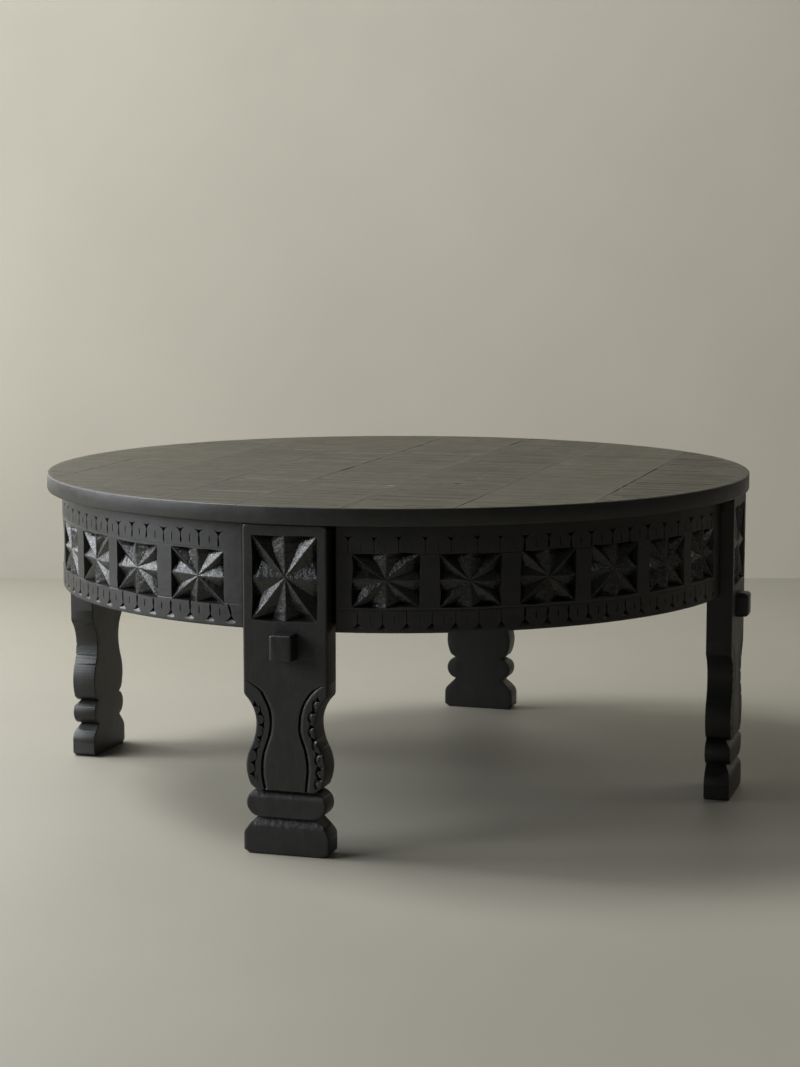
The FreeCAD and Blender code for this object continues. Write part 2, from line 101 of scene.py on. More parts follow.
class Carving:
    """Cuts into a face. Each cut is a small net of (u, v, depth) corners and triangles, and the face
    is as deep as the deepest net over it."""

    def __init__(self):
        self.corners = []
        self.triangles = []

    def add(self, corners, triangles):
        first = len(self.corners)
        self.corners += corners
        self.triangles += [tuple(first + index for index in triangle) for triangle in triangles]

    def edges(self):
        return {tuple(sorted(pair)) for a, b, c in self.triangles for pair in ((a, b), (b, c), (c, a))}

    def depth(self, u, v):
        depth = np.zeros(len(u))
        order = np.argsort(u)
        sorted_u = u[order]
        corners = np.array(self.corners)
        for triangle in self.triangles:
            a, b, c = corners[list(triangle)]
            area = (b[0] - a[0]) * (c[1] - a[1]) - (b[1] - a[1]) * (c[0] - a[0])
            if abs(area) < 1e-12:
                continue
            low, high = min(a[0], b[0], c[0]), max(a[0], b[0], c[0])
            near = order[np.searchsorted(sorted_u, low - 1e-7):np.searchsorted(sorted_u, high + 1e-7)]
            x, y = u[near] - a[0], v[near] - a[1]
            share_b = (x * (c[1] - a[1]) - y * (c[0] - a[0])) / area
            share_c = (y * (b[0] - a[0]) - x * (b[1] - a[1])) / area
            inside = (share_b > -1e-4) & (share_c > -1e-4) & (share_b + share_c < 1 + 1e-4)
            found = near[inside]
            here = a[2] + share_b[inside] * (b[2] - a[2]) + share_c[inside] * (c[2] - a[2])
            depth[found] = np.maximum(depth[found], here)
        return depth


def unit(vector):
    return vector / np.linalg.norm(vector)


def sideways(vector):
    """The unit vector to the left of a direction."""
    return unit(np.array([-vector[1], vector[0]]))


def carve_rosette(carving, middle, width, height, depth, chance):
    """An eight-pointed star in a rectangle. Narrow, slightly bent ridges run to the corners and to
    the middles of the sides, and the valleys between them fall away towards steep walls."""
    middle = np.array(middle)
    half = np.array([width, height]) / 2
    ridges = np.array([(1, 0), (1, 1), (0, 1), (-1, 1), (-1, 0), (-1, -1), (0, -1), (1, -1)]) * half
    centre = middle + chance.uniform(-1, 1, 2) * CENTRE_WANDER
    spokes = []
    for index, ridge in enumerate(ridges):
        valleys = [(ridge + ridges[index - 1]) / 2, (ridge + ridges[(index + 1) % len(ridges)]) / 2]
        slip = middle + chance.uniform(-1, 1, 2) * RIM_WANDER
        drop = RIDGE_DROP * chance.uniform(0.4, 1.6)
        bend = chance.normal(0, 1.0) * MM
        for valley in valleys:
            end = slip + ridge + unit(valley - ridge) * RIDGE_WIDTH / 2
            spokes.append((end, drop, bend, RINGS))
        slip = middle + chance.uniform(-1, 1, 2) * RIM_WANDER * 1.5
        spokes.append((slip + valleys[1], depth * chance.uniform(0.85, 1.12), chance.normal(0, 1.3) * MM,
                       VALLEY_SHARES))
    corners = [(*centre, MIDDLE_DROP)]
    for end, drop, bend, shares in spokes:
        foot = end + unit(centre - end) * drop / WALL_SLOPE
        corners += [(*end, 0), (*foot, drop)]
        for ring, share in zip(RINGS[::-1], shares[::-1]):
            bow = bend * 4 * ring * (1 - ring)
            corners.append((*(centre + (foot - centre) * ring + sideways(foot - centre) * bow),
                            MIDDLE_DROP + (drop - MIDDLE_DROP) * share))
    triangles = []
    for index in range(len(spokes)):
        here = 1 + 4 * index
        there = 1 + 4 * ((index + 1) % len(spokes))
        for row in range(3):
            triangles += [(here + row, here + row + 1, there + row + 1),
                          (here + row, there + row + 1, there + row)]
        triangles.append((0, here + 3, there + 3))
    carving.add(corners, triangles)


def carve_groove(carving, line, width, depth, lean=0.5, tapered=True, opening=1):
    """A V-groove along a line. lean says where its bottom lies between the left and right edge, and
    opening over how many points it gets its full width."""
    line = np.array(line, float)
    along = np.gradient(line, axis=0)
    along /= np.linalg.norm(along, axis=1)[:, None]
    across = np.stack([-along[:, 1], along[:, 0]], axis=1)
    last = len(line) - 1
    corners = []
    triangles = []
    for index, point in enumerate(line):
        share = 0.0 if tapered and index in (0, last) else min(1.0, (index + 1) / opening)
        left = point + across[index] * width / 2 * share
        right = point - across[index] * width / 2 * share
        bottom = left + (right - left) * lean
        corners += [(*left, 0), (*bottom, depth * share), (*right, 0)]
    for index in range(last):
        here, there = 3 * index, 3 * index + 3
        for side in (0, 1):
            triangles += [(here + side, here + side + 1, there + side),
                          (here + side + 1, there + side + 1, there + side)]
    carving.add(corners, triangles)


def carve_chip(carving, tips, sag, depth, pull=0.0, steps=4):
    """A chip between three corner points, whose sides bulge inwards by sag, a share of their length.
    Its deepest point lies in its middle, or is pulled towards the last corner."""
    tips = np.array(tips, float)
    middle = tips.mean(axis=0)
    rim = []
    for index, tip in enumerate(tips):
        following = tips[(index + 1) % len(tips)]
        side = following - tip
        inward = unit(middle - (tip + following) / 2)
        for step in range(steps):
            share = step / steps
            bulge = 4 * share * (1 - share) * sag * np.linalg.norm(side)
            rim.append(tip + side * share + inward * bulge)
    deepest = middle + (tips[-1] - middle) * pull
    corners = [(*deepest, depth)] + [(*point, 0) for point in rim]
    count = len(rim)
    carving.add(corners, [(0, 1 + index, 1 + (index + 1) % count) for index in range(count)])


def carve_columns(carving, columns):
    """A cut between columns of (u, v, depth) corners, all of one length."""
    rows = len(columns[0])
    triangles = []
    for index in range(len(columns) - 1):
        for row in range(rows - 1):
            here = rows * index + row
            there = here + rows
            triangles += [(here, there, there + 1), (here, there + 1, here + 1)]
    carving.add([corner for column in columns for corner in column], triangles)


def carve_lit_chip(carving, base, reach, tip, depth):
    """A chip of a lower border: a deep wedge under its tip, and below the wedge a smooth crescent that
    faces up."""
    base, tip = np.array(base), np.array(tip)
    columns = []
    for share in np.linspace(-1, 1, 7):
        full = 1 - share ** 2
        sag = CRESCENT_SAG * full
        top = base + (reach * share * CRESCENT_TOP_SHARE, CRESCENT_HEIGHT * full - sag)
        columns.append([(*(base + (reach * share, -sag)), 0), (*top, CRESCENT_DEPTH * full)])
    carve_columns(carving, columns)
    half = reach * WEDGE_WIDTH_SHARE
    wedge = [base + (-half, WEDGE_RISE), base + (half, WEDGE_RISE), tip + (tip - base) * WEDGE_TIP_SHARE]
    carve_chip(carving, wedge, WEDGE_SAG_SHARE, depth * WEDGE_DEPTH_SHARE)


def curved(points, steps=4):
    """A smooth line through points, with steps pieces between two of them."""
    points = np.array(points, float)
    padded = np.concatenate([[2 * points[0] - points[1]], points, [2 * points[-1] - points[-2]]])
    line = []
    for index in range(len(points) - 1):
        a, b, c, d = padded[index:index + 4]
        for step in range(steps):
            t = step / steps
            line.append(0.5 * (2 * b + (c - a) * t + (2 * a - 5 * b + 4 * c - d) * t ** 2
                               + (3 * b - a - 3 * c + d) * t ** 3))
    return line + [points[-1]]


# Meshes

def spaced(start, end, spacing):
    """Points from start up to, but not including, end."""
    start, end = np.array(start, float), np.array(end, float)
    count = max(1, math.ceil(np.linalg.norm(end - start) / spacing))
    return [start + (end - start) * step / count for step in range(count)]


def tuples(points):
    return [tuple(point) for point in points]


def spaced_loop(loop, spacing):
    return np.array([point for start, end in zip(loop, loop[1:] + loop[:1])
                     for point in spaced(start, end, spacing)])


def inside_loop(points, loop):
    """Which points lie inside a closed loop."""
    result = np.zeros(len(points), bool)
    x, y = points[:, 0], points[:, 1]
    for (x1, y1), (x2, y2) in zip(loop, np.roll(loop, -1, axis=0)):
        if y1 != y2:
            crosses = ((y1 > y) != (y2 > y)) & (x < (x2 - x1) * (y - y1) / (y2 - y1) + x1)
            result ^= crosses
    return result


def tree_of(points):
    tree = kdtree.KDTree(len(points))
    for index, point in enumerate(points):
        tree.insert((point[0], point[1], 0), index)
    tree.balance()
    return tree


def distances(points, tree):
    return np.array([tree.find((point[0], point[1], 0))[2] for point in points])


def scattered(loop, spacing, stretch, chance):
    """Points spread over the inside of a loop, spacing apart in v and spacing * stretch in u."""
    low, high = loop.min(axis=0), loop.max(axis=0)
    u, v = np.meshgrid(np.arange(low[0], high[0], spacing * stretch), np.arange(low[1], high[1], spacing))
    u = u + (np.arange(len(u)) % 2)[:, None] * spacing * stretch / 2
    points = np.stack([u.ravel(), v.ravel()], axis=1)
    points += chance.uniform(-0.22, 0.22, points.shape) * [spacing * stretch, spacing]
    return points[inside_loop(points, loop)]


def triangulated(points, edges, outline, stretch):
    """The triangles inside the outline, worked out in millimetres. Edges that cross get a new point.
    The third result gives the numbers of the points that each place came from."""
    flat = [Vector((point[0] / stretch / MM, point[1] / MM)) for point in points]
    made = delaunay_2d_cdt(flat, edges, [], 1, 1e-4)
    places = np.array([(vertex.x * stretch * MM, vertex.y * MM) for vertex in made[0]])
    faces = np.array(made[2])
    faces = faces[inside_loop(places[faces].mean(axis=1), outline)]
    kept, numbers = np.unique(faces, return_inverse=True)
    return places[kept], numbers.reshape(faces.shape), [made[3][index] for index in kept]


def boundary_edges(faces):
    """The edges that only one triangle has."""
    edges = np.sort(np.concatenate([faces[:, [0, 1]], faces[:, [1, 2]], faces[:, [2, 0]]]), axis=1)
    unique, count = np.unique(edges, axis=0, return_counts=True)
    return unique[count == 1]


def inset_loop(loop, distance):
    """A closed loop that turns left, moved inwards. Points that come too near the loop are left out."""
    along = np.roll(loop, -1, axis=0) - np.roll(loop, 1, axis=0)
    along /= np.linalg.norm(along, axis=1)[:, None]
    ring = loop + np.stack([-along[:, 1], along[:, 0]], axis=1) * distance
    ring = ring[inside_loop(ring, loop)]
    return ring[distances(ring, tree_of(loop)) > distance * 0.93]


def quarter_round(distance, radius):
    """How far an edge of that radius drops at a distance from it."""
    short = np.clip(radius - distance, 0, radius)
    return radius - np.sqrt(radius ** 2 - short ** 2)


def lumps(u, v, size, seed):
    """Smooth noise between about -1 and 1."""
    return np.array([noise.noise(Vector((a / size, b / size, seed * 7.3))) for a, b in zip(u, v)])


RING_SHARES = (0.06, 0.25, 0.55, 1.0)


class Slab:
    """How a closed piece with a carved front is made. loop is its outline in (u, v) and turns left,
    and place turns (u, v, depth) into points in space."""

    def __init__(self, name, loop, place, thickness, spacing, seed):
        self.name = name
        self.loop = tuples(loop)
        self.place = place
        self.thickness = thickness
        self.spacing = spacing
        self.seed = seed
        self.stretch = 1.0
        self.tone = 0.5
        self.gouge = 0.22 * MM
        self.carving = Carving()
        self.front_radius = 1.5 * MM
        self.back_radius = 1.0 * MM

    def edge_drop(self, u, v, radius):
        """How far the rounded edge lies below the face."""
        return quarter_round(distances(np.stack([u, v], axis=1), self.tree), radius)

    def cut_share(self, v):
        """How much of the chisel's texture a cut shows at a height."""
        return np.ones(len(v))

    def rough(self, u, v):
        """How far the face is worn away, which is never less than nothing."""
        return 0.1 * MM * (2 + lumps(u, v, 16 * MM, self.seed) + lumps(u, v, 4 * MM, self.seed + 9))

    def front_points(self, outline, chance):
        """Points and edges of the front: the outline, rings along it, the cuts and a spread."""
        fine = self.spacing * 0.8
        points = tuples(outline)
        edges = [(index, (index + 1) % len(outline)) for index in range(len(outline))]
        for share in RING_SHARES:
            points += tuples(inset_loop(outline, self.front_radius * share))
        number = {}
        for pair in self.carving.edges():
            ends = [self.carving.corners[index][:2] for index in pair]
            for index, end in zip(pair, ends):
                if index not in number:
                    number[index] = len(points)
                    points.append(end)
            between = spaced(*ends, fine)[1:]
            chain = [number[pair[0]], *range(len(points), len(points) + len(between)), number[pair[1]]]
            points += tuples(between)
            edges += list(zip(chain, chain[1:]))
        free = scattered(outline, self.spacing, self.stretch, chance)
        free = free[distances(free, tree_of(points)) > self.spacing * 0.5]
        return points + tuples(free), edges

    def make(self):
        chance = np.random.default_rng(self.seed)
        outline = spaced_loop(self.loop, self.spacing)
        self.tree = tree_of(spaced_loop(self.loop, 0.4 * MM))
        points, edges = self.front_points(outline, chance)
        flat, faces, _ = triangulated(points, edges, outline, self.stretch)
        u, v = flat[:, 0], flat[:, 1]
        rim = boundary_edges(faces)
        rim_points = np.unique(rim)
        cut = self.carving.depth(u, v)
        inside_cut = np.clip(cut / (1.5 * MM), 0, 1) * self.cut_share(v)
        front = np.maximum(self.edge_drop(u, v, self.front_radius), cut) + self.rough(u, v)
        front += inside_cut * self.gouge * (1 + lumps(u, v, 3.6 * MM, self.seed + 3))
        front[rim_points] = np.maximum(front[rim_points], self.front_radius * 0.9)

        order = {number: index for index, number in enumerate(rim_points)}
        back_edges = [(order[a], order[b]) for a, b in rim]
        inner = scattered(outline, self.spacing * 5, self.stretch, chance)
        inner = inner[distances(inner, tree_of(outline)) > self.spacing * 2]
        back_all = tuples(flat[rim_points])
        for share in RING_SHARES[1:]:
            back_all += tuples(inset_loop(outline, self.back_radius * share))
        back_all += tuples(inner)
        back_flat, back_faces, sources = triangulated(back_all, back_edges, outline, self.stretch)
        at_back = {source: index for index, found in enumerate(sources) for source in found}
        bu, bv = back_flat[:, 0], back_flat[:, 1]
        back = self.thickness - self.edge_drop(bu, bv, self.back_radius)

        first = len(u)
        all_u, all_v = np.concatenate([u, bu]), np.concatenate([v, bv])
        depth = np.concatenate([front, back])
        walls = [(a, b, first + at_back[order[b]], first + at_back[order[a]]) for a, b in rim]
        polygons = [tuple(face) for face in faces] + [tuple(first + face) for face in back_faces] + walls
        grain = np.stack([all_u, all_v, depth], axis=1)
        return build(self.name, self.place(all_u, all_v, depth), polygons, grain, self.tone,
                     np.concatenate([inside_cut, np.zeros(len(bu))]))


def placed(name, data, place=(0, 0, 0), turn=(0, 0, 0)):
    """A new object in the scene."""
    made = bpy.data.objects.new(name, data)
    made.location = place
    made.rotation_euler = turn
    bpy.context.scene.collection.objects.link(made)
    return made


def build(name, points, polygons, grain, tone, cut, sharp=30):
    """A mesh piece. grain keeps the laid-out place of each point for the wood's texture, tone is how
    pale the piece is, and cut says where the wood is carved away."""
    mesh = bpy.data.meshes.new(name)
    mesh.from_pydata(tuples(points), [], [[int(i) for i in p] for p in polygons])
    cleaner = bmesh.new()
    cleaner.from_mesh(mesh)
    bmesh.ops.recalc_face_normals(cleaner, faces=cleaner.faces)
    cleaner.to_mesh(mesh)
    cleaner.free()
    mesh.attributes.new("grain", "FLOAT_VECTOR", "POINT").data.foreach_set(
        "vector", np.asarray(grain, np.float32).ravel())
    mesh.attributes.new("tone", "FLOAT", "POINT").data.foreach_set("value", [tone] * len(points))
    mesh.attributes.new("cut", "FLOAT", "POINT").data.foreach_set("value", np.asarray(cut, np.float32))
    mesh.shade_smooth()
    mesh.set_sharp_from_angle(angle=math.radians(sharp))
    return placed(name, mesh)


def turned(points, quarters):
    """Points of the front quarter, turned about the table's axis."""
    angle = QUARTER * quarters
    x, y = points[:, 0].copy(), points[:, 1].copy()
    points[:, 0] = x * math.cos(angle) - y * math.sin(angle)
    points[:, 1] = x * math.sin(angle) + y * math.cos(angle)
    return points


def stand_for(piece, cad_name, material):
    """Give a piece its material and put it in the place of a solid."""
    piece.data.materials.append(material)
    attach(piece, ROOT)
    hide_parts(cad_name)


# Materials

# The dark and the pale streaks of each wood
WOODS = {
    # The olive hue of the top's upward faces is a painted reflection of the warm wall
    "top_wood": ((0.0215, 0.0188, 0.0092), (0.042, 0.0368, 0.018)),
    "apron_wood": ((0.0087, 0.0084, 0.0081), (0.0175, 0.0168, 0.0161)),
    "leg_wood": ((0.0062, 0.0060, 0.0058), (0.0125, 0.0120, 0.0115)),
    "inner_wood": ((0.020, 0.016, 0.013), (0.042, 0.034, 0.028)),
}
# The colour of the flecks in carved wood, and the tint of the top's upright rim: a painted reflection
# colour, which takes the olive off the rim and leaves it cooler and darker
FLECK = (0.025, 0.025, 0.024)
TOP_RIM_PAINTED_TINT = (0.46, 0.52, 0.98)


def new_tree(name):
    material = bpy.data.materials.new(name)
    material.use_nodes = True
    tree = material.node_tree
    shader = next(node for node in tree.nodes if node.type == "BSDF_PRINCIPLED")
    return material, tree, shader


def rgba(colour):
    """A colour, or a grey given as one number, with its alpha."""
    return (*colour, 1) if isinstance(colour, tuple) else (colour, colour, colour, 1)


def feed(tree, made, inputs):
    """Link each input of a node to a socket, or set it to a constant."""
    for key, value in inputs.items():
        socket = made.inputs[key]
        if isinstance(value, bpy.types.NodeSocket):
            tree.links.new(value, socket)
        else:
            socket.default_value = rgba(value) if socket.type == "RGBA" else value


def node(tree, kind, inputs=None, **settings):
    made = tree.nodes.new("ShaderNode" + kind)
    for key, value in settings.items():
        setattr(made, key, value)
    feed(tree, made, inputs or {})
    return made


def attribute(tree, name, output):
    return node(tree, "Attribute", attribute_name=name).outputs[output]


def ramp(tree, source, stops):
    """A colour ramp over a value. Each stop is (place, grey or colour)."""
    made = node(tree, "ValToRGB", {"Fac": source})
    elements = made.color_ramp.elements
    while len(elements) < len(stops):
        elements.new(0.5)
    for element, (place, colour) in zip(elements, stops):
        element.position = place
        element.color = rgba(colour)
    return made.outputs["Color"]


def mixed(tree, factor, first, second, blend="MIX"):
    """Two colours mixed. factor, first and second are sockets or constants."""
    return node(tree, "Mix", {0: factor, 6: first, 7: second}, data_type="RGBA", blend_type=blend).outputs[2]


def times(tree, first, second, share=1.0):
    """One colour multiplied by another, by a share of the way."""
    return mixed(tree, share, first, second, "MULTIPLY")


def calculated(tree, first, second, operation="MULTIPLY"):
    return node(tree, "Math", {0: first, 1: second}, operation=operation).outputs[0]


def scaled(tree, source, scale):
    return node(tree, "Mapping", {"Vector": source, "Scale": scale}).outputs["Vector"]


def noise_of(tree, vector, scale, detail=4.0, roughness=0.55, distortion=0.0):
    inputs = {"Vector": vector, "Scale": scale, "Detail": detail, "Roughness": roughness,
              "Distortion": distortion}
    return node(tree, "TexNoise", inputs).outputs["Fac"]


def bumped(tree, height, distance, strength, below=None):
    inputs = {"Distance": distance, "Strength": strength, "Height": height}
    if below is not None:
        inputs["Normal"] = below
    return node(tree, "Bump", inputs).outputs["Normal"]


def stained_wood(name, along, from_object=False, edge_wear_and_highlight=0.3, gloss=0.46, fibres=0.3, blotch=0.05,
                 carved_gloss=(0.20, 0.40), painted_side_tint=None):
    """One of the WOODS under a thin black stain. along is the axis of the grain, counted in the laid
    out place of the piece, or in the object's own coordinates. Carved wood is rougher and glints."""
    material, tree, shader = new_tree(name)
    dark, pale = WOODS[name]
    if from_object:
        place = node(tree, "TexCoord").outputs["Object"]
    else:
        place = attribute(tree, "grain", "Vector")
    tone = attribute(tree, "tone", "Fac")
    cut = attribute(tree, "cut", "Fac")
    long_scale = [1.0, 1.0, 1.0]
    long_scale[along] = 0.05
    streaked = scaled(tree, place, long_scale)
    fibre = noise_of(tree, streaked, 900, detail=5, roughness=0.65)
    figure = noise_of(tree, streaked, 90, detail=4, roughness=0.55, distortion=1.2)
    cloud = noise_of(tree, place, 14, detail=4)
    smear = noise_of(tree, place, 45, detail=5, roughness=0.6)
    pores = ramp(tree, noise_of(tree, streaked, 420, detail=2, roughness=0.4), [(0.62, 1.0), (0.74, 0.0)])
    plain_tool = noise_of(tree, place, 160, detail=3, roughness=0.6)
    gouge = noise_of(tree, place, 260, detail=5, roughness=0.68, distortion=0.6)
    glint = noise_of(tree, place, 620, detail=2, roughness=0.5)

    shade = mixed(tree, ramp(tree, figure, [(0.35, 0.0), (0.7, 1.0)]), dark, pale)
    shade = mixed(tree, ramp(tree, smear, [(0.42, 0.0), (0.75, 0.5)]), shade,
                  tuple(channel * 1.5 for channel in pale))
    shade = times(tree, shade, ramp(tree, fibre, [(0.3, 0.45), (0.75, 1.0)]), fibres)
    shade = times(tree, shade, pores, fibres)
    shade = times(tree, shade, ramp(tree, tone, [(0.0, 0.65), (1.0, 1.0)]))
    # Convex edges are painted paler in patches: partly wear through the stain, partly a painted highlight
    # along ridges and edges
    edges = ramp(tree, node(tree, "NewGeometry").outputs["Pointiness"], [(0.505, 0.0), (0.60, 1.0)])
    rubbed_and_highlit_edges = times(tree, edges, ramp(tree, cloud, [(0.35, 0.15), (0.65, 1.0)]))
    shade = mixed(tree, times(tree, rubbed_and_highlit_edges, edge_wear_and_highlight), shade, tuple(channel * 3.2 for channel in pale))
    # Painted reflection: upright faces are tinted cooler and darker than upward ones, which keep the olive
    if painted_side_tint:
        upright = node(tree, "SeparateXYZ", {0: node(tree, "NewGeometry").outputs["Normal"]})
        shade = times(tree, shade, ramp(tree, upright.outputs["Z"], [(0.2, painted_side_tint), (0.8, 1.0)]))
    flecks = ramp(tree, noise_of(tree, place, 380, detail=4, roughness=0.7), [(0.52, 0.0), (0.68, 1.0)])
    shade = mixed(tree, times(tree, flecks, cut), shade, FLECK)

    polish = ramp(tree, cloud, [(0.25, gloss - blotch), (0.75, gloss + blotch)])
    polish = mixed(tree, 0.3, polish, ramp(tree, smear, [(0.35, gloss - 0.12), (0.7, gloss + 0.16)]))
    polish = mixed(tree, 0.25, polish, ramp(tree, tone, [(0.0, 0.75), (1.0, 0.30)]))
    carved = ramp(tree, gouge, [(0.38, carved_gloss[0]), (0.62, carved_gloss[1])])

    normal = bumped(tree, fibre, 0.2 * MM, fibres)
    normal = bumped(tree, pores, 0.25 * MM, fibres, normal)
    normal = bumped(tree, plain_tool, 0.6 * MM, 0.3, normal)
    normal = bumped(tree, gouge, 1.1 * MM, calculated(tree, cut, 0.55), normal)
    normal = bumped(tree, glint, 0.35 * MM, calculated(tree, cut, 0.6), normal)
    feed(tree, shader, {"Base Color": shade, "Roughness": mixed(tree, cut, polish, carved),
                        "Specular IOR Level": 0.5, "Normal": normal})
    return material


def worn_steel():
    """Zinc-plated screws that have dulled."""
    material, tree, shader = new_tree("screw_steel")
    place = node(tree, "TexCoord").outputs["Object"]
    stain = noise_of(tree, place, 120, detail=5)
    fine = noise_of(tree, place, 1400, detail=3)
    shade = mixed(tree, ramp(tree, stain, [(0.4, 0.0), (0.7, 1.0)]), (0.42, 0.42, 0.41), (0.20, 0.18, 0.16))
    feed(tree, shader, {"Base Color": shade, "Roughness": ramp(tree, stain, [(0.3, 0.35), (0.7, 0.62)]),
                        "Normal": bumped(tree, fine, 0.1 * MM, 0.4), "Metallic": 1.0})
    return material


# Table top

# How strong the saw marks of each plank are and how pale each plank is
SAW_SHARES = (0.35, 0.45, 0.9, 0.8, 0.75, 1.0, 0.4, 1.0)
TONES = (0.70, 0.62, 0.40, 0.50, 0.45, 0.35, 0.62, 0.42)
SAW_PITCH = 27 * MM
SAW_DEPTH = 1.4 * MM
SAW_TO_SEAM = 1.2 * MM
SAW_TO_RIM = 6 * MM
SHORTEST_SAW_MARK = 12 * MM
RIM_ROUND = 1.6 * MM
RIM_LOW_ROUND = 2.6 * MM
SEAM_ROUND = 0.5 * MM
RIM_WAVE = 0.8 * MM
SEAM_GAP = 0.06 * MM
OPEN_GAP = 2.0 * MM

# Where each seam stands open, seen in the photo: from and to along the plank in millimetres, and how far
# as a share of OPEN_GAP
OPEN_SEAMS = {
    1: ((-165, 10, 1.0), (180, 250, 0.7)),
    3: ((-314, -144, 0.6), (0, 200, 0.5)),
    4: ((-170, 130, 1.1), (150, 400, 0.8)),
    5: ((300, 410, 0.8),),
    6: ((-390, -280, 0.8),),
    7: ((-230, -60, 0.9), (-50, 115, 1.0), (235, 330, 0.9)),
}


def plank_sides(number):
    low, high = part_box("top_plank_%d" % number)
    return low.x, high.x


def rim_reach(x, y):
    """How far the hand-cut rim lies from the middle in a direction."""
    wave = noise.noise(Vector((2.4 * x, 2.4 * y, 0))) + 0.35 * noise.noise(Vector((11 * x, 11 * y, 1)))
    return TOP_RADIUS - RIM_WAVE * (1 + wave)


def plank_loop(number):
    """The outline of a plank, which turns left. Its long sides waver and the rim isn't quite round."""
    left, right = plank_sides(number)
    step = 6 * MM

    def rim(angle):
        reach = rim_reach(math.cos(angle), math.sin(angle))
        return reach * math.cos(angle), reach * math.sin(angle)

    def side(offset, low, high, inward, seam):
        count = max(2, round((high - low) / step))
        line = []
        for index in range(1, count):
            v = low + (high - low) * index / count
            gap = SEAM_GAP + 0.05 * MM * (1 + noise.noise(Vector((v * 60, inward, seam))))
            for start, end, strength in OPEN_SEAMS.get(seam, ()):
                share = (v / MM - start) / (end - start)
                if 0 < share < 1:
                    broken = min(1, max(0, 0.65 + 1.6 * noise.noise(Vector((v * 40, 0, seam * 3.7)))))
                    gap += OPEN_GAP / 2 * strength * broken * math.sin(math.pi * share) ** 0.5
            line.append((offset + inward * gap, v))
        return line

    def arc(start, end):
        count = max(2, round(abs(end - start) * TOP_RADIUS / step))
        return [rim(start + (end - start) * index / count) for index in range(count + 1)]

    def rim_angle(x, side):
        """Where the rim passes x, on the far side (1) or the near side (-1)."""
        angle = side * math.acos(x / TOP_RADIUS)
        for _ in range(3):
            angle = side * math.acos(x / rim_reach(math.cos(angle), math.sin(angle)))
        return angle

    first, last = number == 1, number == PLANK_COUNT
    far, near = (0.0, 0.0) if last else (rim_angle(right, 1), rim_angle(right, -1))
    left_far, left_near = (math.pi, -math.pi) if first else (rim_angle(left, 1), rim_angle(left, -1))
    loop = [] if last else side(right, rim(near)[1], rim(far)[1], -1, number)
    loop += arc(left_near if last else far, left_far)
    if not first:
        loop += side(left, rim(left_near)[1], rim(left_far)[1], 1, number - 1)[::-1]
    if not last:
        loop += arc(left_near, near)[1 if first else 0:]
    return loop


def carve_saw_marks(carving, number, chance):
    """Shallow marks of a coarse saw, square to the plank."""
    left, right = plank_sides(number)
    v = -TOP_RADIUS
    while v < TOP_RADIUS:
        v += SAW_PITCH * chance.uniform(0.45, 1.4)
        strength = SAW_SHARES[number - 1] * chance.uniform(0.45, 1.15)
        start, end = left + SAW_TO_SEAM, right - SAW_TO_SEAM
        if chance.random() < 0.3:
            start += (end - start) * chance.uniform(0, 0.5)
        if chance.random() < 0.3:
            end -= (end - start) * chance.uniform(0, 0.5)
        reach = math.sqrt(max(0, (TOP_RADIUS - SAW_TO_RIM) ** 2 - v ** 2))
        start, end = max(start, -reach), min(end, reach)
        if end - start < SHORTEST_SAW_MARK:
            continue
        tilt = chance.uniform(-1.0, 1.0) * MM
        bend = chance.uniform(-0.9, 0.9) * MM
        line = [(start + (end - start) * share, v + tilt * share + bend * math.sin(math.pi * share))
                for share in (0, 0.12, 0.4, 0.65, 0.88, 1)]
        carve_groove(carving, line, chance.uniform(5, 11) * MM, SAW_DEPTH * strength,
                     lean=chance.uniform(0.15, 0.85))


class Plank(Slab):
    """One plank of the top, with a round rim and slightly eased seams."""

    def __init__(self, number):
        super().__init__("top_plank_%d_wood" % number, plank_loop(number), self.over_top,
                         TOP_HIGH - TOP_LOW, 3.0 * MM, 200 + number)
        self.stretch = 1.5
        self.tone = TONES[number - 1]
        self.gouge = 0
        self.front_radius = RIM_ROUND
        self.back_radius = RIM_LOW_ROUND

    def over_top(self, u, v, depth):
        return np.stack([u, v, TOP_HIGH - depth], axis=1)

    def edge_drop(self, u, v, radius):
        middle = np.hypot(u, v)
        reach = np.array([rim_reach(a, b) for a, b in zip(u / middle, v / middle)])
        near = distances(np.stack([u, v], axis=1), self.tree)
        return np.maximum(quarter_round(reach - middle, radius), quarter_round(near, SEAM_ROUND))

    def rough(self, u, v):
        swell = 0.12 * MM * lumps(u * 0.5, v, 30 * MM, self.seed)
        return 0.2 * MM + swell + 0.06 * MM * lumps(u * 0.2, v, 5 * MM, self.seed + 20)


def make_plank(number, material):
    chance = np.random.default_rng(100 + number)
    plank = Plank(number)
    carve_saw_marks(plank.carving, number, chance)
    stand_for(plank.make(), "top_plank_%d" % number, material)


# Apron

PANEL_ANGLE = QUARTER / 2 - math.asin(PANEL_END / APRON_RADIUS)
PANEL_HALF = PANEL_ANGLE * APRON_RADIUS
ROSETTE_COUNT = 6
ROSETTE_PITCH = 12.1
ROSETTE_DEPTH = 11.0 * MM
ROSETTE_HEIGHT = 60.5 * MM
ROSETTE_MIDDLE = (316.5 * MM, 315 * MM, 315 * MM, 313 * MM)
BORDER_TOP = 366.5 * MM
BORDER_BOTTOM = 262 * MM

# The angle along the panel of each rosette in degrees and its width in millimetres, on the two
# panels that the photo shows
ROSETTES = {
    0: ((14.9, 76), (27.6, 71), (39.95, 70), (52.1, 70), (63.9, 69), (75.1, 66)),
    3: ((13.7, 70), (24.8, 72), (36.5, 76), (49.15, 71), (61.35, 76), (74.3, 76)),
}
